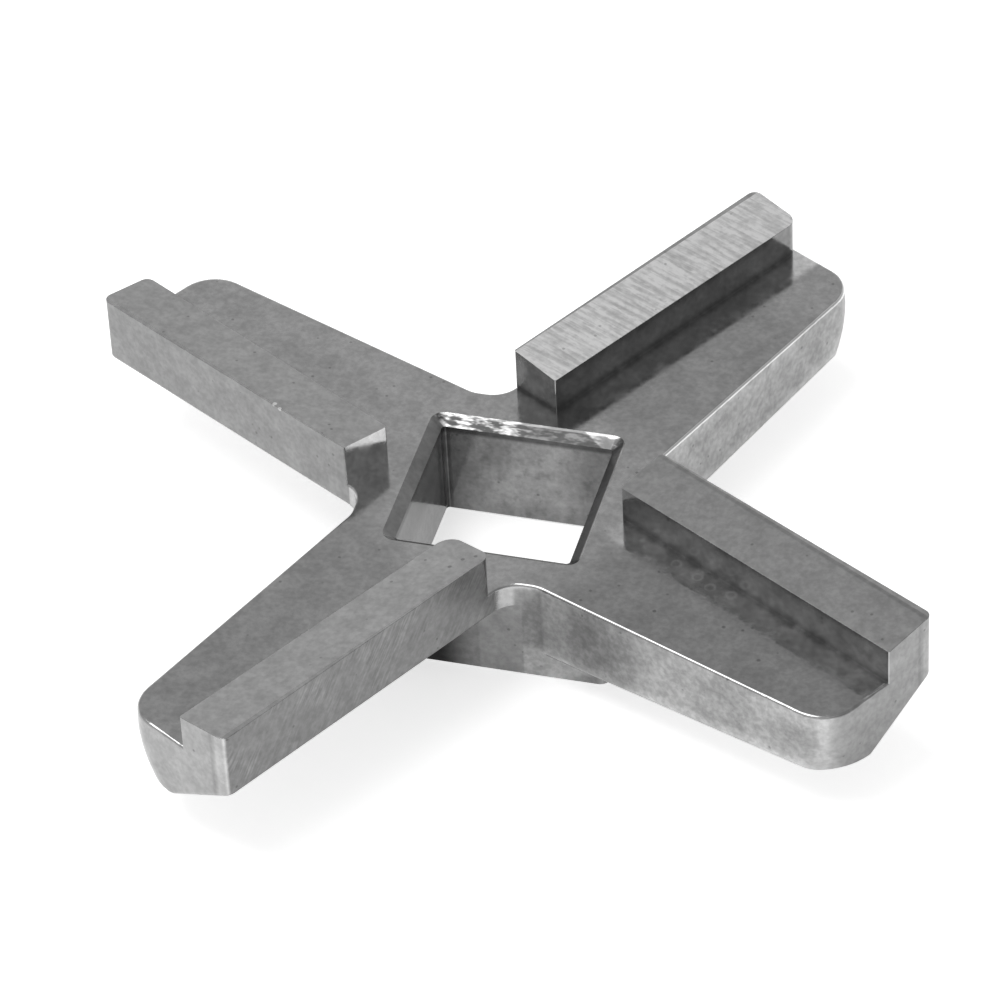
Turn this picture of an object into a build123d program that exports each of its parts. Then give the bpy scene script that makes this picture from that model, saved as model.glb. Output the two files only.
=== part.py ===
from build123d import *
from math import radians, sqrt, tan
import os

# Four-armed grinder knife: a square drive hub with four cutting bars, one steel casting.
# Frame: +Z along the bore axis, out of the cutting side. The origin is on the bore axis, on
# the foot of the hub, and X and Y are square to the walls of the bore.
# Each arm is drawn along +X, with its leading side at +Y, and then turned to its place.

# Hub and square drive bore (mm)
hub_side = 28.1
hub_height = 11.9
hub_corner_radius = 1.2
hub_foot_chamfer = 0.2
bore_side = 18.0
bore_corner_radius = 0.4
bore_mouth_radius = 1.9
bore_mouth_width = 1.2
bore_mouth_depth = 0.9
bore_exit_chamfer = 0.2

# Arms, seen from above
arm_count = 4
first_arm_angle = 59.6
arm_reach = 48.0
lead_offset_root = 10.5
lead_offset_tip = 10.9
trail_offset_root = 8.7
trail_offset_tip = 3.9
root_fillet = 3.0
tip_trail_radius = 4.2
tip_foot_radius = 8.2
tip_waist_radius = 4.7
tip_waist_height = 7.0
tip_lead_radius = 0.9

# Arms, seen from the side and from the end
root_thickness = 9.4
tip_thickness = 7.5
lead_face_depth = 2.6
relief_angle = 31.0
lower_edge_radius = 1.3
tip_edge_radius = 0.5
wing_edge_radius = 0.35

# Cutting bars on the leading sides of the arms
bar_start = 12.0
bar_wall_offset = 4.6
bar_height = 4.0
bar_top_tilt = 8.2
land_inset = 0.6

# Rounding of each bar's corners, dressed by hand: the inner end's rear and front, the tip's rear
bar_inner_radii = (0.25, 0.25, 1.8, 0.25)
bar_heel_radii = (0.25, 0.25, 1.2, 0.25)
bar_tip_radii = (1.3, 0.9, 0.25, 0.25)

# How far the cutting tools run past what they cut, and how near counts as touching
overrun = 5.0
touch = 0.01


def offset_at(x, at_root, at_tip):
    """Distance from the arm's axis of a side that runs straight from root to tip."""
    share = (x - bar_start) / (arm_reach - bar_start)
    return at_root + (at_tip - at_root) * share


def lead_side(x):
    return offset_at(x, lead_offset_root, lead_offset_tip)


def trail_side(x):
    return -offset_at(x, trail_offset_root, trail_offset_tip)


def underside_height(x):
    """Height of the flat underside, which climbs from the hub's wall to the tip."""
    hub_wall = hub_side / 2
    share = (x - hub_wall) / (arm_reach - hub_wall)
    return hub_height - root_thickness + (root_thickness - tip_thickness) * share


def corner_near(sketch, x, y):
    return sketch.vertices().sort_by_distance((x, y, 0))[0]


def inner_corners(plan):
    """The two corners where the arm's sides run into the walls of the hub."""
    hub_reach = hub_side / sqrt(2)
    at_hub = [v for v in plan.vertices() if 0 < v.X < hub_reach]
    lead = min(at_hub, key=lambda v: abs(v.Y - lead_side(v.X)))
    trail = min(at_hub, key=lambda v: abs(v.Y - trail_side(v.X)))
    return [lead, trail]


def web_plan():
    """The arm from above, still square at its rear tip, with its fillets against the hub."""
    blade = Polygon(
        (0, trail_side(0)),
        (arm_reach, trail_side(arm_reach)),
        (arm_reach, lead_side(arm_reach)),
        (0, lead_side(0)),
        align=None,
    )
    blade = fillet(corner_near(blade, arm_reach, lead_side(arm_reach)), tip_lead_radius)
    hub = Rot(0, 0, -first_arm_angle) * Rectangle(hub_side, hub_side)
    plan = blade + hub
    plan = fillet(inner_corners(plan), root_fillet)
    beside_arm = Rectangle(arm_reach, hub_side, align=(Align.MIN, Align.CENTER))
    return plan & beside_arm


def below_arm(x):
    """Section at x of the space below the arm: flat underside, slanted relief, lead face."""
    flat = underside_height(x)
    relief_top = hub_height - lead_face_depth
    relief_width = (relief_top - flat) / tan(radians(relief_angle))
    beyond = hub_side
    outline = Polygon(
        (-beyond, -overrun),
        (beyond, -overrun),
        (beyond, relief_top),
        (lead_side(x), relief_top),
        (lead_side(x) - relief_width, flat),
        (-beyond, flat),
        align=None,
    )
    return Plane(origin=(x, 0, 0), x_dir=(0, 1, 0), z_dir=(1, 0, 0)) * outline


def is_lower_trail(edge):
    """True for the long lower edge on the trailing side."""
    middle = edge.position_at(0.5)
    on_trail = abs(middle.Y - trail_side(middle.X)) < touch
    return on_trail and middle.X > hub_side / 2 and middle.Z < hub_height - touch


def is_relief_tip(edge):
    """True for the lower edges at the tip where the relief runs out."""
    middle = edge.position_at(0.5)
    beside_tip = middle.X > arm_reach - tip_lead_radius
    above_flat = middle.Z > underside_height(arm_reach) + tip_edge_radius
    return beside_tip and above_flat and middle.Z < hub_height - lead_face_depth


def is_upper_rim(edge):
    """True for the upper edges of the web that don't lie inside the hub."""
    middle = edge.position_at(0.5)
    inside_hub = middle.X < touch or abs(middle.Y) > hub_side / 2 - touch
    return middle.Z > hub_height - touch and not inside_hub


def tip_waste():
    """What is ground off the arm's rear tip corner, which grows rounder towards its foot."""
    block = Polygon(
        (0, trail_side(0)),
        (arm_reach, trail_side(arm_reach)),
        (arm_reach, hub_side),
        (0, hub_side),
        align=None,
    )
    corner = corner_near(block, arm_reach, trail_side(arm_reach))
    foot = Pos(0, 0, underside_height(arm_reach) - lower_edge_radius) * fillet(corner, tip_foot_radius)
    waist = Pos(0, 0, tip_waist_height) * fillet(corner, tip_waist_radius)
    top = Pos(0, 0, hub_height) * fillet(corner, tip_trail_radius)
    around = Pos(arm_reach, trail_side(arm_reach), 0) * Box(
        2 * tip_foot_radius,
        2 * tip_foot_radius,
        hub_height,
        align=(Align.CENTER, Align.CENTER, Align.MIN),
    )
    return around - loft([foot, waist, top])


def make_web():
    """The arm without its bar: sloping underside, relief, rounded lower and upper edges."""
    plan = web_plan()
    web = extrude(plan, hub_height)
    web -= loft([below_arm(0), below_arm(arm_reach + overrun)], ruled=True)
    web = fillet(web.edges().filter_by(is_lower_trail), lower_edge_radius)
    web -= tip_waste()
    web = fillet(web.edges().filter_by(is_relief_tip), tip_edge_radius)
    return fillet(web.edges().filter_by(is_upper_rim), wing_edge_radius)


def bar_plan(inner_radius, heel_radius, tip_radius):
    """The cutting bar from above, with its four corners rounded."""
    plan = Polygon(
        (bar_start, bar_wall_offset),
        (arm_reach, bar_wall_offset),
        (arm_reach, lead_side(arm_reach)),
        (bar_start, lead_side(bar_start)),
        align=None,
    )
    plan = fillet(corner_near(plan, arm_reach, lead_side(arm_reach)), tip_lead_radius)
    plan = fillet(corner_near(plan, bar_start, bar_wall_offset), inner_radius)
    plan = fillet(corner_near(plan, bar_start, lead_side(bar_start)), heel_radius)
    return fillet(corner_near(plan, arm_reach, bar_wall_offset), tip_radius)


def bar_end_view():
    """The bar's outline from its end: a top that leans up to a narrow flat land, ground last."""
    wall_top = hub_height + bar_height
    land_start = lead_offset_root - land_inset
    land_top = wall_top + (land_start - bar_wall_offset) * tan(radians(bar_top_tilt))
    beyond = lead_offset_tip + overrun
    return Polygon(
        (bar_wall_offset, 0),
        (beyond, 0),
        (beyond, land_top),
        (land_start, land_top),
        (bar_wall_offset, wall_top),
        align=None,
    )


def make_bar(inner_radius, heel_radius, tip_radius):
    """The cutting bar on the leading side of the arm. Its foot is sunk in the web."""
    foot = hub_height - lead_face_depth / 2
    plan = bar_plan(inner_radius, heel_radius, tip_radius)
    block = Pos(0, 0, foot) * extrude(plan, bar_height + overrun)
    return block & extrude(Plane.YZ * bar_end_view(), arm_reach + overrun)


def make_hub():
    """The square block at the centre, from its foot to the level of the wings."""
    block = extrude(RectangleRounded(hub_side, hub_side, hub_corner_radius), hub_height)
    block = fillet(block.edges().group_by(Axis.Z)[-1], wing_edge_radius)
    return chamfer(block.edges().group_by(Axis.Z)[0], hub_foot_chamfer)


def bore_section(widening, radius):
    side = bore_side + 2 * widening
    return RectangleRounded(side, side, radius)


def bore_flare(face_height, depth, width, radius):
    """A square funnel that opens by width on each side at the face, and runs on past it."""
    past = 1.5
    inner = Pos(0, 0, face_height - depth) * bore_section(0, bore_corner_radius)
    outer = Pos(0, 0, face_height + (past - 1) * depth) * bore_section(width * past, radius)
    return loft([inner, outer], ruled=True)


def make_bore():
    """The square hole, with a wide rounded chamfer at its mouth and a small one at its exit."""
    through = hub_height + 2 * overrun
    hole = Pos(0, 0, -overrun) * extrude(bore_section(0, bore_corner_radius), through)
    mouth = bore_flare(hub_height, bore_mouth_depth, bore_mouth_width, bore_mouth_radius)
    outlet = bore_flare(0, -bore_exit_chamfer, bore_exit_chamfer, bore_corner_radius)
    return hole + mouth + outlet


def make_knife():
    """The hub with an arm and its bar at each place, and then the bore cut through."""
    web = make_web()
    knife = make_hub()
    for index in range(arm_count):
        arm = web + make_bar(bar_inner_radii[index], bar_heel_radii[index], bar_tip_radii[index])
        knife += Rot(0, 0, first_arm_angle + 360 / arm_count * index) * arm
    return knife - make_bore()


if __name__ == "__main__":
    os.makedirs("parts", exist_ok=True)
    export_step(make_knife(), "parts/grinder_knife.step")
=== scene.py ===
import math

import bpy
from mathutils import Matrix, Vector

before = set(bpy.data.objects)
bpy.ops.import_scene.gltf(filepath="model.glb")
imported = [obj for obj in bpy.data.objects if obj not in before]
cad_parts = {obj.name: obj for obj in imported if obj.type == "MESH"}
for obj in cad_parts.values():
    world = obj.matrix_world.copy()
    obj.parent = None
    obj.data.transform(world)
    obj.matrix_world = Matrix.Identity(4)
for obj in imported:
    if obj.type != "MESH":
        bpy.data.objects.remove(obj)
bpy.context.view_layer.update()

MM = 0.001
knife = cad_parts["grinder_knife"]

# ---- The knife's own sizes, as in the CAD model ----
ARM_COUNT = 4
FIRST_ARM = math.radians(59.6)
HUB_HALF = 14.05 * MM
BORE_HALF = 9.0 * MM
BORE_MOUTH = 1.2 * MM
WING_LEVEL = 11.9 * MM
UNDERSIDE_ROOT = 2.5 * MM
UNDERSIDE_TIP = 4.4 * MM
BAR_START = 12.0 * MM
ARM_REACH = 48.0 * MM

# ---- Camera, at the photograph's place ----
VIEW_TURN = math.radians(16.952)
VIEW_HEIGHT = math.radians(40.437)
VIEW_ROLL = math.radians(-3.0635)
VIEW_DISTANCE = 579.916 * MM
VIEW_ACROSS = 0.2959 * MM
VIEW_DOWN = 4.3150 * MM
TARGET_HEIGHT = 15.9047 * MM
FOCAL_LENGTH = 208.77
SENSOR = 36.0
CLIP_START = 50 * MM
CLIP_END = 20


def make_camera():
    forward = Vector((0, math.cos(VIEW_HEIGHT), -math.sin(VIEW_HEIGHT)))
    level_right = Vector((1, 0, 0))
    level_up = level_right.cross(forward)
    right = level_right * math.cos(VIEW_ROLL) + level_up * math.sin(VIEW_ROLL)
    up = level_up * math.cos(VIEW_ROLL) - level_right * math.sin(VIEW_ROLL)
    place = -right * VIEW_ACROSS - up * VIEW_DOWN - forward * VIEW_DISTANCE
    place.z += TARGET_HEIGHT
    axes = Matrix((right, up, -forward)).transposed().to_4x4()
    data = bpy.data.cameras.new("photo_camera")
    data.sensor_width = SENSOR
    data.lens = FOCAL_LENGTH
    data.clip_start = CLIP_START
    data.clip_end = CLIP_END
    camera = bpy.data.objects.new("photo_camera", data)
    turn = Matrix.Rotation(VIEW_TURN, 4, "Z")
    camera.matrix_world = turn @ Matrix.Translation(place) @ axes
    bpy.context.scene.collection.objects.link(camera)
    bpy.context.scene.camera = camera


# ---- Node trees, built with short calls ----
class Tree:
    """A node tree that is built from expressions. Most calls return an output socket."""

    def __init__(self, tree):
        self.tree = tree
        tree.nodes.clear()

    def node(self, kind, **settings):
        made = self.tree.nodes.new(kind)
        for name, value in settings.items():
            setattr(made, name, value)
        return made

    def plug(self, socket, value):
        """Links an output to the socket, or writes a plain value into it."""
        if isinstance(value, bpy.types.NodeSocket):
            self.tree.links.new(value, socket)
        else:
            socket.default_value = value

    def math(self, operation, *values):
        made = self.node("ShaderNodeMath", operation=operation)
        for socket, value in zip(made.inputs, values):
            self.plug(socket, value)
        return made.outputs[0]

    def add(self, a, b):
        return self.math("ADD", a, b)

    def times(self, a, b):
        return self.math("MULTIPLY", a, b)

    def larger(self, a, b):
        return self.math("MAXIMUM", a, b)

    def size(self, value):
        return self.math("ABSOLUTE", value)

    def step(self, value, low, high, at_low=0.0, at_high=1.0):
        """Runs smoothly from at_low to at_high as value goes from low to high."""
        made = self.node("ShaderNodeMapRange", interpolation_type="SMOOTHSTEP")
        for socket, given in zip(made.inputs, (value, low, high, at_low, at_high)):
            self.plug(socket, given)
        return made.outputs["Result"]

    def above(self, value, edge, soft):
        """A mask: 1 where the value is above the edge, with a soft border."""
        return self.step(value, edge - soft, edge + soft)

    def below(self, value, edge, soft):
        """A mask: 1 where the value is below the edge, with a soft border."""
        return self.step(value, edge - soft, edge + soft, 1.0, 0.0)

    def both(self, *masks):
        """1 where every one of the masks is 1."""
        result = masks[0]
        for mask in masks[1:]:
            result = self.times(result, mask)
        return result

    def blend(self, mask, a, b):
        """a where the mask is 0 and b where it is 1."""
        made = self.node("ShaderNodeMix", data_type="FLOAT")
        for socket, value in zip(made.inputs[:1] + made.inputs[2:4], (mask, a, b)):
            self.plug(socket, value)
        return made.outputs[0]

    def blend_vectors(self, mask, a, b):
        made = self.node("ShaderNodeMix", data_type="VECTOR")
        for socket, value in zip(made.inputs[:1] + made.inputs[4:6], (mask, a, b)):
            self.plug(socket, value)
        return made.outputs[1]

    def tone(self, grey, mask, factor):
        """The grey, multiplied by the factor where the mask is 1."""
        return self.times(grey, self.blend(mask, 1.0, factor))

    def join(self, x, y, z):
        made = self.node("ShaderNodeCombineXYZ")
        for socket, value in zip(made.inputs, (x, y, z)):
            self.plug(socket, value)
        return made.outputs[0]

    def split(self, vector):
        """The three parts of a vector."""
        made = self.node("ShaderNodeSeparateXYZ")
        self.plug(made.inputs[0], vector)
        return made.outputs

    def vectors(self, operation, a, b, output="Vector"):
        made = self.node("ShaderNodeVectorMath", operation=operation)
        self.plug(made.inputs[0], a)
        self.plug(made.inputs[1], b)
        return made.outputs[output]

    def turned(self, vector, angle):
        made = self.node("ShaderNodeVectorRotate", rotation_type="Z_AXIS")
        self.plug(made.inputs["Vector"], vector)
        self.plug(made.inputs["Angle"], angle)
        return made.outputs[0]

    def scaled(self, vector, scale):
        return self.vectors("MULTIPLY", vector, scale)

    def noise(self, vector, size, detail=3.0):
        """Noise from 0 to 1 whose grains are about size metres across."""
        made = self.node("ShaderNodeTexNoise")
        self.plug(made.inputs["Vector"], vector)
        self.plug(made.inputs["Scale"], 1 / size)
        self.plug(made.inputs["Detail"], detail)
        self.plug(made.inputs["Roughness"], NOISE_ROUGHNESS)
        return made.outputs["Fac"]

    def spots(self, vector, size, radius):
        """1 in round spots, scattered one to a cell of that size, and 0 between them."""
        made = self.node("ShaderNodeTexVoronoi")
        self.plug(made.inputs["Vector"], vector)
        self.plug(made.inputs["Scale"], 1 / size)
        return self.step(made.outputs["Distance"], radius * 0.5, radius, 1.0, 0.0)


# ---- Steel: one casting, ground on its bars ----
BASE_GREY = 0.48
NOISE_ROUGHNESS = 0.55
FINE_GRAIN = 0.6 * MM
MIDDLING_GRAIN = 1.8 * MM
BROAD_GRAIN = 4.5 * MM

# How soft the borders of the masks are: on places, and on the directions of faces
CRISP = 0.05 * MM
LESS_CRISP = 0.2 * MM
FACING = 0.8
FACING_SOFT = 0.1

# Bounds of an arm and its bar, in the arm's own directions
ARM_BEGINS = BAR_START - 0.3 * MM
ARM_SIDE = 11.5 * MM
BAR_LEVEL = WING_LEVEL + 1.5 * MM
TOP_EDGE = 10.35 * MM

# Painted light and shade as tones against the base grey, one for each arm: back right, back left,
# front left, front right
WING_PAINTED_SHADING = (0.83, 1.02, 0.83, 0.7)
TOP_PAINTED_SHADING = (1.8, 0.95, 0.97, 0.63)
LEAD_PAINTED_SHADING = (0.68, 0.6, 0.53, 0.68)
END_PAINTED_SHADING = (0.85, 0.85, 0.78, 0.68)
TRAIL_PAINTED_SHADING = (0.74, 0.8, 0.8, 0.8)
WALL_PAINTED_SHADING = (0.5, 0.8, 0.8, 0.37)
INNER_PAINTED_SHADING = (0.68, 1.5, 1.0, 1.0)
FRONT_RIGHT = 3


class Steel(Tree):
    """The knife's finish. Places are read in the knife's own frame, in metres."""

    def __init__(self, tree):
        super().__init__(tree)
        coordinates = self.node("ShaderNodeTexCoord")
        self.place = coordinates.outputs["Object"]
        self.normal = coordinates.outputs["Normal"]
        self.facing = self.split(self.normal)
        self.upward = self.facing[2]
        self.across, self.along, self.height = self.split(self.place)
        self.top = self.above(self.upward, 0.9, 0.04)
        self.fine = self.noise(self.place, FINE_GRAIN)
        self.middling = self.noise(self.place, MIDDLING_GRAIN)
        self.broad = self.noise(self.place, BROAD_GRAIN)

    def around_one(self, noise, depth):
        """A factor that wanders round 1 by depth as the noise does."""
        return self.step(noise, 0.3, 0.7, 1 - depth, 1 + depth)

    def slanted(self, least, most, soft):
        """1 on faces that look partly upward: on chamfers and rounded rims."""
        return self.both(self.above(self.upward, least, soft), self.below(self.upward, most, 0.02))


class Arm:
    """One arm's own directions and the masks of its faces.

    x runs out along the arm and y towards its leading side, and z is the height.
    """

    def __init__(self, steel, index):
        angle = -(FIRST_ARM + index * 2 * math.pi / ARM_COUNT)
        self.steel = steel
        self.index = index
        self.place = steel.turned(steel.place, angle)
        self.x, self.y, self.z = steel.split(self.place)
        self.out, self.lead, _ = steel.split(steel.turned(steel.normal, angle))
        beside = steel.below(steel.size(self.y), ARM_SIDE, LESS_CRISP)
        self.here = steel.both(steel.above(self.x, ARM_BEGINS, 0.1 * MM), beside)
        self.raised = steel.above(self.z, BAR_LEVEL, 0.3 * MM)

    def ground_top(self):
        """1 on the bar's top, without the worn rim along its leading edge."""
        top = self.steel.both(self.here, self.steel.top, self.raised)
        return self.steel.both(top, self.steel.below(self.y, TOP_EDGE, CRISP))

    def wing(self):
        """1 on the wing's top. It fades in from the hub, with which the wing is level."""
        low = self.steel.below(self.z, WING_LEVEL + 0.5 * MM, LESS_CRISP)
        fade = self.steel.step(self.x, 11 * MM, 18 * MM)
        return self.steel.both(self.here, self.steel.top, low, fade)

    def wall(self):
        """1 on the bar's upright side towards the wing."""
        inner = self.steel.above(self.y, 2 * MM, 1 * MM)
        above_wing = self.steel.above(self.z, WING_LEVEL, CRISP)
        backward = self.steel.below(self.lead, -FACING, FACING_SOFT)
        return self.steel.both(self.here, backward, inner, above_wing)

    def leading(self):
        """1 on the arm's leading side."""
        return self.steel.both(self.here, self.steel.above(self.lead, FACING, FACING_SOFT))

    def trailing(self):
        """1 on the arm's trailing side."""
        outer = self.steel.below(self.y, 0.0, 1 * MM)
        backward = self.steel.below(self.lead, -FACING, FACING_SOFT)
        return self.steel.both(self.here, backward, outer)

    def end(self):
        """1 on the arm's outer end."""
        return self.steel.both(self.here, self.steel.above(self.out, FACING, FACING_SOFT))

    def inner_end(self):
        """1 on the bar's end beside the bore."""
        above_wing = self.steel.above(self.z, WING_LEVEL, CRISP)
        inward = self.steel.below(self.out, -FACING, FACING_SOFT)
        return self.steel.both(self.here, inward, above_wing)

    def above_underside(self):
        """Height above the arm's flat underside, which climbs towards the tip."""
        climb = (UNDERSIDE_TIP - UNDERSIDE_ROOT) / (ARM_REACH - HUB_HALF)
        start = UNDERSIDE_ROOT - HUB_HALF * climb
        underside = self.steel.add(self.steel.times(self.x, climb), start)
        return self.steel.math("SUBTRACT", self.z, underside)

    def spot(self, mark, level, radius):
        """1 within that radius of a mark at that height on the arm."""
        centre = (mark[0] * MM, mark[1] * MM, level)
        distance = self.steel.vectors("DISTANCE", self.place, centre, "Value")
        return self.steel.step(distance, radius * 0.75, radius * 1.15, 1.0, 0.0)

    def streaks(self, across, angle, width, length):
        """Noise drawn out into streaks at that angle to the arm, on its top or on its side."""
        steel = self.steel
        plane = steel.join(self.x, across, 0.0)
        turned = steel.turned(plane, angle)
        return steel.noise(steel.scaled(turned, (1.0, width / length, 1.0)), width, detail=4.0)


def paint_face_shading(steel, arm, grey):
    """Painted light and shade: the lighter and darker faces of one arm."""
    index = arm.index
    faces = (
        (arm.wing(), WING_PAINTED_SHADING[index]),
        (arm.ground_top(), TOP_PAINTED_SHADING[index]),
        (arm.leading(), LEAD_PAINTED_SHADING[index]),
        (arm.trailing(), TRAIL_PAINTED_SHADING[index]),
        (arm.end(), END_PAINTED_SHADING[index]),
        (arm.wall(), WALL_PAINTED_SHADING[index]),
        (arm.inner_end(), INNER_PAINTED_SHADING[index]),
    )
    for mask, factor in faces:
        grey = steel.tone(grey, mask, factor)
    return grey


# ---- Marks of the grinding wheel ----
BRUSH_ANGLE = math.radians(-10)
BRUSH_WIDTH = 0.55 * MM
BRUSH_LENGTH = 5 * MM
BRUSH_DEPTH = 0.22
GLINT_ANGLE = math.radians(-14)
GLINT_WIDTH = 0.8 * MM
GLINT_LENGTH = 3.5 * MM
GLINT_LIGHT = 1.35
SCRATCH_ANGLE = math.radians(-35)
SCRATCH_WIDTH = 0.28 * MM
SCRATCH_LENGTH = 3.5 * MM
SCRATCH_DEPTH = 0.2


def brush_top(steel, arm, grey):
    """Marks of the grinding wheel across a bar's top."""
    marks = arm.streaks(arm.y, BRUSH_ANGLE, BRUSH_WIDTH, BRUSH_LENGTH)
    factor = steel.step(marks, 0.3, 0.72, 1 - BRUSH_DEPTH, 1 + BRUSH_DEPTH)
    return steel.tone(grey, arm.ground_top(), factor)


def glint_top(steel, arm, grey):
    """Short strokes where the wheel burnished the metal, made bright by painted glints."""
    marks = arm.streaks(arm.y, GLINT_ANGLE, GLINT_WIDTH, GLINT_LENGTH)
    return steel.tone(grey, arm.ground_top(), steel.step(marks, 0.6, 0.7, 1.0, GLINT_LIGHT))


def scratch_side(steel, arm, grey):
    """Slanted marks of the grinding wheel in patches of a leading face."""
    marks = arm.streaks(arm.z, SCRATCH_ANGLE, SCRATCH_WIDTH, SCRATCH_LENGTH)
    factor = steel.step(marks, 0.35, 0.72, 1 - SCRATCH_DEPTH, 1 + SCRATCH_DEPTH)
    patches = steel.step(steel.broad, 0.4, 0.6, 0.25, 1.0)
    return steel.tone(grey, steel.both(arm.leading(), patches), factor)


# ---- Painted light and shade on the arms' sides ----
LOW_EDGE_LIGHT = 1.4
TRAIL_MIDDLE = 0.97
UNDER_RIM_LIGHT = 1.15
# Painted shade on the front right arm's trailing side near the hub
FRONT_ROOT_SHADE = 0.62
FRONT_OUTER_LIGHT = 1.5
# Painted light on the wings beside the bars, and painted shade at the foot of the bars' walls
BACK_BAND_LIGHT = 1.75
FRONT_BAND_LIGHT = 2.4
WALL_FOOT_SHADE = 0.55
# Painted shade in the corner at a bar's inner end
INNER_CORNER_SHADE = 0.3
RIM_LIGHT = 2.4
TIP_LIGHT = 1.2
HEEL_LIGHT = 1.4
CORNER_LIGHT = 1.25
END_STRIPE_DARK = 0.86
REAR_CORNER_LIGHT = 1.15


def shade_trail(steel, arm, grey):
    """A trailing side has a painted reflection along its rounded lower edge, and painted light
    under its rim.

    That of the front right arm has painted shade near the hub and painted light further out.
    """
    height = arm.above_underside()
    low_edge = steel.step(height, 0.7 * MM, 2.4 * MM, LOW_EDGE_LIGHT, TRAIL_MIDDLE)
    rim_start = WING_LEVEL - 2.2 * MM
    under_rim = steel.step(arm.z, rim_start, WING_LEVEL - 0.6 * MM, 1.0, UNDER_RIM_LIGHT)
    blotches = steel.times(steel.around_one(steel.broad, 0.1), steel.around_one(steel.fine, 0.06))
    factor = steel.times(steel.times(low_edge, under_rim), blotches)
    if arm.index == FRONT_RIGHT:
        root_shade = steel.step(arm.x, 15 * MM, 19 * MM, 1.0, FRONT_ROOT_SHADE)
        factor = steel.times(factor, root_shade)
        brighter = steel.step(arm.x, 20 * MM, 29 * MM, 1.0, FRONT_OUTER_LIGHT)
        factor = steel.times(factor, brighter)
    return steel.tone(grey, arm.trailing(), factor)


def shade_beside_bar(steel, arm, grey, band_light):
    """Where the wing mirrors the bar's wall it is painted lighter, and painted shade darkens the
    foot of the wall.
    """
    painted_light = steel.step(arm.y, 1.1 * MM, 2.1 * MM, 1.0, band_light)
    grey = steel.tone(grey, arm.wing(), painted_light)
    corner_shade = steel.step(arm.z, WING_LEVEL, WING_LEVEL + 1.2 * MM, WALL_FOOT_SHADE, 1.05)
    return steel.tone(grey, arm.wall(), corner_shade)


def shade_inner_corner(steel, arm, grey):
    """Painted shade darkens the corner where a bar's inner end meets the hub."""
    corner_shade = steel.step(arm.z, WING_LEVEL, WING_LEVEL + 0.9 * MM, INNER_CORNER_SHADE, 1.0)
    return steel.tone(grey, arm.inner_end(), corner_shade)


def lighten_rim(steel, arm, grey):
    """A painted highlight makes the rounded rim of a wing shine beside its trailing side, and
    painted light makes its tip lighter.
    """
    behind = steel.below(arm.lead, -0.2, 0.1)
    rim = steel.both(arm.here, steel.slanted(0.25, 0.96, 0.1), behind)
    grey = steel.tone(grey, rim, RIM_LIGHT)
    tip = steel.step(arm.x, 36 * MM, 44 * MM, 1.0, TIP_LIGHT)
    return steel.tone(grey, arm.wing(), tip)


def lighten_heel(steel, arm, grey):
    """Painted light makes a leading face lighter at the bar's rounded heel."""
    heel = steel.step(arm.x, 13.5 * MM, 17 * MM, HEEL_LIGHT, 1.0)
    return steel.tone(grey, arm.leading(), heel)


def shade_end(steel, arm, grey):
    """A painted highlight lightens the front corner of an arm's end, beside a darker stripe.

    Painted light makes the rounded rear corner a little lighter too.
    """
    painted_light = steel.step(arm.y, 9.3 * MM, 9.7 * MM, 1.0, CORNER_LIGHT)
    offset = steel.size(steel.add(arm.y, -9.0 * MM))
    stripe = steel.step(offset, 0.1 * MM, 0.3 * MM, END_STRIPE_DARK, 1.0)
    factor = steel.times(painted_light, stripe)
    outward = steel.both(arm.here, steel.above(arm.out, 0.5, 0.1))
    grey = steel.tone(grey, outward, factor)
    rear = steel.both(steel.above(arm.out, 0.25, 0.15), steel.below(arm.lead, -0.35, 0.15))
    return steel.tone(grey, steel.both(arm.here, rear), REAR_CORNER_LIGHT)


# ---- Small marks of use, as distances in mm along and across the arm from the bore's axis ----
PITS = ((14.1, 8.7), (13.0, 9.4), (15.7, 8.5))
WING_PITS = ((30.7, -0.3), (24.1, -3.2), (36.5, -1.5))
SCARS = ((20.8, 3.3), (23.7, 3.3), (25.7, 3.0), (28.0, 3.6))
# Nicks and chips of bare metal, which also carry painted glints
GLINTING_NICKS = ((15.9, 3.6),)
GLINTING_CHIPS = ((22.3, 10.4), (21.4, 10.6))
PIT_LEVEL = 16.5 * MM
CHIP_LEVEL = 16.6 * MM


def mark_arm(steel, arm, grey, marks, level, radius, factor):
    """Small marks on an arm, darker or lighter than the steel round them."""
    for mark in marks:
        grey = steel.tone(grey, arm.spot(mark, level, radius), factor)
    return grey


def mark_arms(steel, front_left, front_right, back_left, grey):
    """Pits, scars with bright borders, one nick of bare metal, and chips in an edge; the nick and
    the chips carry painted glints.
    """
    grey = mark_arm(steel, front_left, grey, PITS, PIT_LEVEL, 0.22 * MM, 0.6)
    grey = mark_arm(steel, front_right, grey, WING_PITS, WING_LEVEL, 0.2 * MM, 0.6)
    grey = mark_arm(steel, front_right, grey, SCARS, WING_LEVEL, 0.6 * MM, 1.5)
    grey = mark_arm(steel, front_right, grey, SCARS, WING_LEVEL, 0.42 * MM, 0.66)
    grey = mark_arm(steel, front_right, grey, GLINTING_NICKS, WING_LEVEL, 0.3 * MM, 2.4)
    return mark_arm(steel, back_left, grey, GLINTING_CHIPS, CHIP_LEVEL, 0.25 * MM, 2.0)


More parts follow.
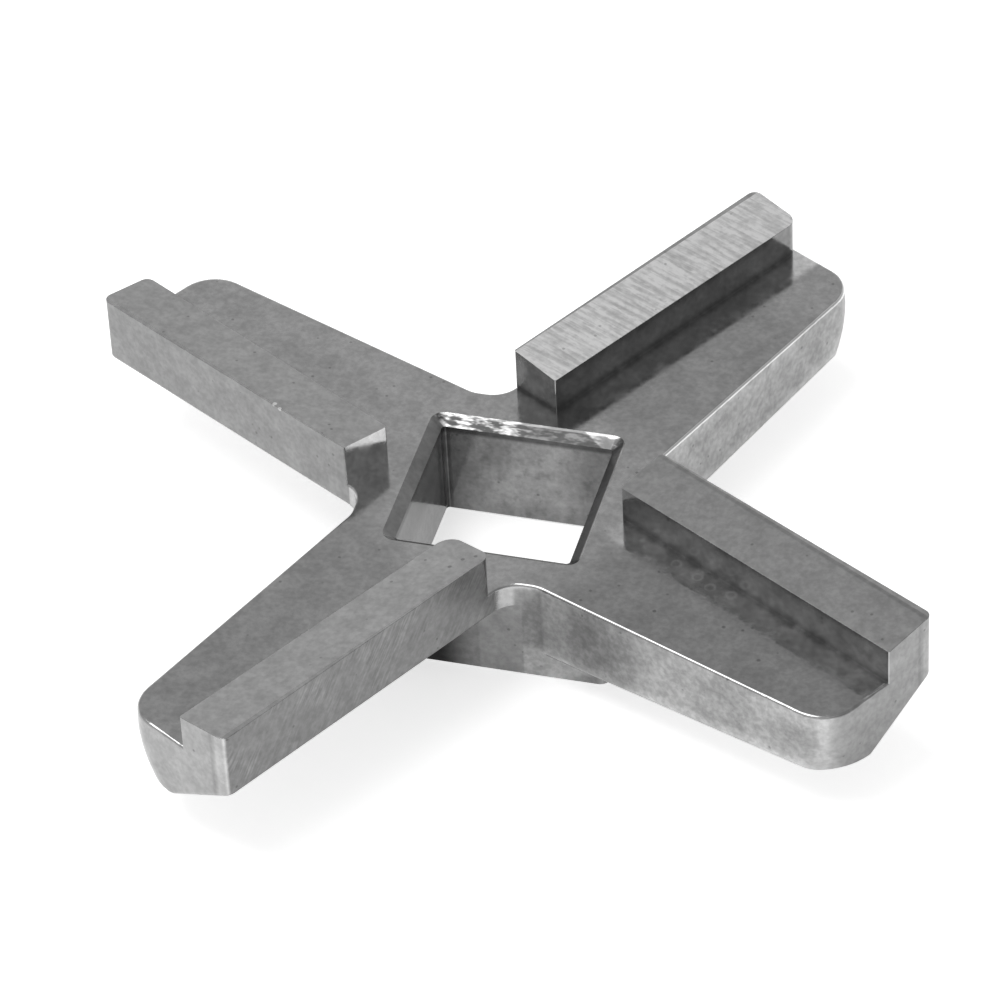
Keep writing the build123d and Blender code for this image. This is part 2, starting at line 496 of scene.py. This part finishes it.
# ---- The bore and its mouth ----
# Painted shade inside the bore, and painted highlight and shade on the chamfer round its mouth, as
# tones against the base grey
BACK_LEFT_TONE = 0.58
BACK_RIGHT_TONE = 0.36
BACK_START_TONE = 0.75
LIP_SHADE = 0.4
LEFT_LOW_TONE = 0.75
LEFT_HIGH_TONE = 0.45
BORE_CORNER_SHADE = 0.42
SCRAPE_GRAIN = 0.45 * MM
SCRAPE_LIGHT = 1.7
LEAST_SCRAPED = 0.18
RIGHT_SCRAPED = 0.45
BACK_MOUTH_TONE = 0.24
BACK_RIM_LIGHT = 0.45
SIDE_MOUTH_TONE = 0.26
SIDE_RIM_TONE = 1.1
LEFT_MOUTH_TONE = 0.66


def within_square(steel, half):
    """1 inside a square round the bore's axis, whose sides lie at that distance."""
    beside = steel.below(steel.size(steel.across), half, CRISP)
    before = steel.below(steel.size(steel.along), half, CRISP)
    return steel.both(beside, before)


def shade_bore(steel, grey):
    """The walls of the bore are blotchy and carry painted shade. The back one darkens towards the
    right, at its left end and under the chamfer, the left one towards the top, and their corner
    most.
    """
    upright = steel.below(steel.size(steel.upward), 0.25, 0.05)
    inside = steel.both(within_square(steel, BORE_HALF + 0.1 * MM), upright)
    back = steel.both(inside, steel.below(steel.facing[1], -0.5, 0.3))
    left = steel.both(inside, steel.above(steel.facing[0], 0.5, 0.3))
    blotches = steel.step(steel.middling, 0.45, 0.75, 1.08, 0.65)
    soot = steel.times(blotches, steel.around_one(steel.broad, 0.15))
    to_right = steel.step(steel.across, 1 * MM, 9 * MM, BACK_LEFT_TONE, BACK_RIGHT_TONE)
    from_left = steel.step(steel.across, -9 * MM, -5 * MM, BACK_START_TONE, 1.0)
    lip = steel.step(steel.height, 10.1 * MM, 10.6 * MM, 1.0, LIP_SHADE)
    back_tone = steel.times(steel.times(soot, to_right), steel.times(lip, from_left))
    left_side = steel.step(steel.height, 4 * MM, 8 * MM, LEFT_LOW_TONE, LEFT_HIGH_TONE)
    grey = steel.tone(grey, back, back_tone)
    grey = steel.tone(grey, left, steel.times(left_side, lip))
    turned_left = steel.above(steel.facing[0], 0.3, 0.15)
    turned_back = steel.below(steel.facing[1], -0.3, 0.15)
    return steel.tone(grey, steel.both(inside, turned_left, turned_back), BORE_CORNER_SHADE)


def mouth(steel):
    """1 on the chamfer round the mouth of the bore."""
    square = within_square(steel, BORE_HALF + BORE_MOUTH + CRISP)
    return steel.both(square, steel.slanted(0.4, 0.93, 0.1))


def shade_mouth(steel, grey):
    """The chamfer has scrapes, made bright at the back by a painted highlight, with a painted
    highlight along its back rim; painted shade darkens the other sides.
    """
    scrapes = steel.noise(steel.scaled(steel.place, (0.3, 1.0, 1.0)), SCRAPE_GRAIN, detail=2.0)
    left_end = steel.step(steel.across, -3 * MM, 1.5 * MM, 1.0, 0.0)
    right_end = steel.step(steel.across, 6 * MM, 9.5 * MM, 0.0, RIGHT_SCRAPED)
    scraped = steel.larger(steel.larger(left_end, right_end), LEAST_SCRAPED)
    bright = steel.times(steel.step(scrapes, 0.42, 0.66, 0.0, SCRAPE_LIGHT), scraped)
    rim_start = BORE_HALF + BORE_MOUTH - 0.25 * MM
    rim_full = BORE_HALF + BORE_MOUTH - 0.15 * MM
    rim = steel.step(steel.along, rim_start, rim_full, 0.0, BACK_RIM_LIGHT)
    back_tone = steel.add(steel.add(bright, BACK_MOUTH_TONE), rim)
    side_rim = steel.step(steel.across, rim_start, rim_full, SIDE_MOUTH_TONE, SIDE_RIM_TONE)
    side_tone = steel.step(steel.facing[0], -0.3, 0.3, side_rim, LEFT_MOUTH_TONE)
    factor = steel.blend(steel.below(steel.facing[1], -0.35, 0.1), side_tone, back_tone)
    return steel.tone(grey, mouth(steel), factor)


def shade_hub_front(steel, grey):
    """Painted shade darkens the hub's front wall, and a painted shadow makes it nearly black
    beside the front left arm.
    """
    front = steel.both(
        steel.below(steel.facing[1], -0.93, 0.04),
        steel.below(steel.size(steel.add(steel.along, HUB_HALF)), 0.2 * MM, 0.1 * MM),
        steel.below(steel.height, WING_LEVEL - 0.5 * MM, LESS_CRISP),
    )
    return steel.tone(grey, front, steel.step(steel.across, -3.5 * MM, 0.5 * MM, 0.1, 0.68))


# ---- The whole steel ----
CAST_PIT_CELL = 1.5 * MM
CAST_PIT_RADIUS = 0.14
CAST_PIT_DEPTH = 0.35
SMOOTH = 0.1
LESS_SMOOTH = 0.18
GROUND_ROUGHNESS = 0.3
LEAD_ROUGHNESS = 0.28
MOUTH_ROUGHNESS = 0.32
TRAIL_ROUGHNESS = 0.3
EDGE_RADIUS = 0.09 * MM
EDGE_SAMPLES = 4
EDGES_START = 17.5 * MM
# Painted shade on the rounded edges of the bars
EDGE_SHADE_TONE = 0.5
GRAIN_STRENGTH = 0.12
GRAIN_HEIGHT = 0.02 * MM


def cast_pits(steel):
    """Dark pits of the casting, one in some of the cells."""
    chosen = steel.above(steel.noise(steel.place, CAST_PIT_CELL * 1.7, detail=0.0), 0.56, 0.03)
    spot = steel.both(chosen, steel.spots(steel.place, CAST_PIT_CELL, CAST_PIT_RADIUS))
    return steel.blend(spot, 1.0, 1 - CAST_PIT_DEPTH)


def steel_grey(steel, arms):
    """The steel's colour: the mottled base, painted light and shade on the faces, and the marks of
    use, some with painted glints.
    """
    grey = steel.times(steel.around_one(steel.middling, 0.08), steel.around_one(steel.fine, 0.09))
    grey = steel.times(grey, steel.around_one(steel.broad, 0.05))
    grey = steel.times(grey, cast_pits(steel))
    grey = steel.times(grey, BASE_GREY)
    for arm in arms:
        grey = paint_face_shading(steel, arm, grey)
        grey = shade_trail(steel, arm, grey)
        grey = shade_end(steel, arm, grey)
    back_right, back_left, front_left, front_right = arms
    grey = brush_top(steel, back_right, grey)
    grey = glint_top(steel, back_right, grey)
    grey = scratch_side(steel, front_left, grey)
    grey = lighten_heel(steel, front_left, grey)
    grey = lighten_rim(steel, back_right, grey)
    grey = shade_beside_bar(steel, back_right, grey, BACK_BAND_LIGHT)
    grey = shade_beside_bar(steel, front_right, grey, FRONT_BAND_LIGHT)
    grey = shade_inner_corner(steel, back_right, grey)
    grey = mark_arms(steel, front_left, front_right, back_left, grey)
    grey = shade_bore(steel, grey)
    grey = shade_mouth(steel, grey)
    return shade_hub_front(steel, grey)


def steel_roughness(steel, arms):
    """Cast faces mirror their surroundings. Ground and scraped ones are rougher."""
    roughness = steel.step(steel.middling, 0.3, 0.7, SMOOTH, LESS_SMOOTH)
    for arm in arms:
        roughness = steel.blend(arm.ground_top(), roughness, GROUND_ROUGHNESS)
        roughness = steel.blend(arm.leading(), roughness, LEAD_ROUGHNESS)
    roughness = steel.blend(mouth(steel), roughness, MOUTH_ROUGHNESS)
    back_right = arms[0]
    return steel.blend(back_right.trailing(), roughness, TRAIL_ROUGHNESS)


def soft_edges(steel, plain):
    """Normals that round the edges of the bars, and leave those of the hub as they are."""
    bevel = steel.node("ShaderNodeBevel", samples=EDGE_SAMPLES)
    bevel.inputs["Radius"].default_value = EDGE_RADIUS
    outline = steel.join(steel.across, steel.along, 0.0)
    from_axis = steel.vectors("DISTANCE", outline, (0, 0, 0), "Value")
    out_on_bar = steel.both(
        steel.above(steel.height, WING_LEVEL + 0.6 * MM, LESS_CRISP),
        steel.above(from_axis, EDGES_START, 0.3 * MM),
    )
    return steel.blend_vectors(out_on_bar, plain, bevel.outputs[0])


def make_steel():
    material = bpy.data.materials.new("steel")
    material.use_nodes = True
    steel = Steel(material.node_tree)
    arms = [Arm(steel, index) for index in range(ARM_COUNT)]
    shader = steel.node("ShaderNodeBsdfPrincipled")
    shader.inputs["Metallic"].default_value = 1.0
    steel.plug(shader.inputs["Roughness"], steel_roughness(steel, arms))

    plain = steel.node("ShaderNodeNewGeometry").outputs["Normal"]
    softened = soft_edges(steel, plain)
    # Painted shade darkens the rounded edges of the bars, where the softened normals turn from the
    # plain ones
    turn = steel.vectors("DOT_PRODUCT", softened, plain, "Value")
    edge_shade = steel.step(turn, 0.9, 0.99, EDGE_SHADE_TONE, 1.0)
    colour = steel.times(steel_grey(steel, arms), edge_shade)
    steel.plug(shader.inputs["Base Color"], colour)

    bump = steel.node("ShaderNodeBump")
    bump.inputs["Strength"].default_value = GRAIN_STRENGTH
    bump.inputs["Distance"].default_value = GRAIN_HEIGHT
    steel.plug(bump.inputs["Height"], steel.fine)
    steel.plug(bump.inputs["Normal"], softened)
    steel.plug(shader.inputs["Normal"], bump.outputs[0])

    output = steel.node("ShaderNodeOutputMaterial")
    steel.plug(output.inputs["Surface"], shader.outputs[0])
    return material


def dress_knife():
    material = make_steel()
    for slot in knife.material_slots:
        slot.material = material


# ---- Stage: pale floor, soft studio light, white behind ----
FLOOR_HALF = 3.0
FLOOR_WHITE = 0.9
SHOWN_LIFT = 0.6
MIRRORED_LIFT = 0.35


def make_floor_paint():
    """White paint that the camera and the mirrors of metal see a little lighter than it is lit."""
    material = bpy.data.materials.new("floor_paint")
    material.use_nodes = True
    tree = Tree(material.node_tree)
    rays = tree.node("ShaderNodeLightPath").outputs
    mirrored = tree.larger(rays["Is Glossy Ray"], rays["Is Transmission Ray"])
    shown = tree.times(rays["Is Camera Ray"], SHOWN_LIFT)
    lift = tree.add(shown, tree.times(mirrored, MIRRORED_LIFT))
    paint = tree.node("ShaderNodeBsdfDiffuse")
    paint.inputs["Color"].default_value = (FLOOR_WHITE, FLOOR_WHITE, FLOOR_WHITE, 1)
    glow = tree.node("ShaderNodeEmission")
    tree.plug(glow.inputs["Strength"], lift)
    both = tree.node("ShaderNodeAddShader")
    tree.plug(both.inputs[0], paint.outputs[0])
    tree.plug(both.inputs[1], glow.outputs[0])
    output = tree.node("ShaderNodeOutputMaterial")
    tree.plug(output.inputs["Surface"], both.outputs[0])
    return material


def make_floor():
    half = FLOOR_HALF
    mesh = bpy.data.meshes.new("floor")
    corners = [(-half, -half, 0), (half, -half, 0), (half, half, 0), (-half, half, 0)]
    mesh.from_pydata(corners, [], [(0, 1, 2, 3)])
    mesh.materials.append(make_floor_paint())
    floor = bpy.data.objects.new("floor", mesh)
    bpy.context.scene.collection.objects.link(floor)


# The studio: white low down, a darker ceiling, and a softbox overhead to the left
WHITE_BELOW = 0.15
DARKER_ABOVE = 0.5
CEILING = 0.65
RIGHT_CEILING = 0.35
RIGHT_CEILING_FULL = 0.7
SOFTBOX_DIRECTION = Vector((-0.35, 0.0, 0.94))
SOFTBOX_DISTANCE = 0.6
SOFTBOX_SIZE = 0.43
SOFTBOX_BRIGHTNESS = 3.5


def make_studio():
    world = bpy.data.worlds.new("studio")
    world.use_nodes = True
    tree = Tree(world.node_tree)
    direction = tree.split(tree.node("ShaderNodeTexCoord").outputs["Generated"])
    ceiling = tree.step(direction[0], 0.0, RIGHT_CEILING_FULL, CEILING, RIGHT_CEILING)
    light = tree.step(direction[2], WHITE_BELOW, DARKER_ABOVE, 1.0, ceiling)
    background = tree.node("ShaderNodeBackground")
    tree.plug(background.inputs["Strength"], light)
    output = tree.node("ShaderNodeOutputWorld")
    tree.plug(output.inputs["Surface"], background.outputs[0])
    bpy.context.scene.world = world


def make_softbox():
    data = bpy.data.lights.new("softbox", "AREA")
    data.shape = "DISK"
    data.size = SOFTBOX_SIZE
    data.energy = SOFTBOX_BRIGHTNESS * (math.pi * SOFTBOX_SIZE / 2) ** 2
    lamp = bpy.data.objects.new("softbox", data)
    lamp.location = SOFTBOX_DIRECTION.normalized() * SOFTBOX_DISTANCE
    lamp.rotation_euler = SOFTBOX_DIRECTION.to_track_quat("Z", "Y").to_euler()
    bpy.context.scene.collection.objects.link(lamp)


make_camera()
dress_knife()
make_floor()
make_studio()
make_softbox()
bpy.context.scene.view_settings.view_transform = "Standard"
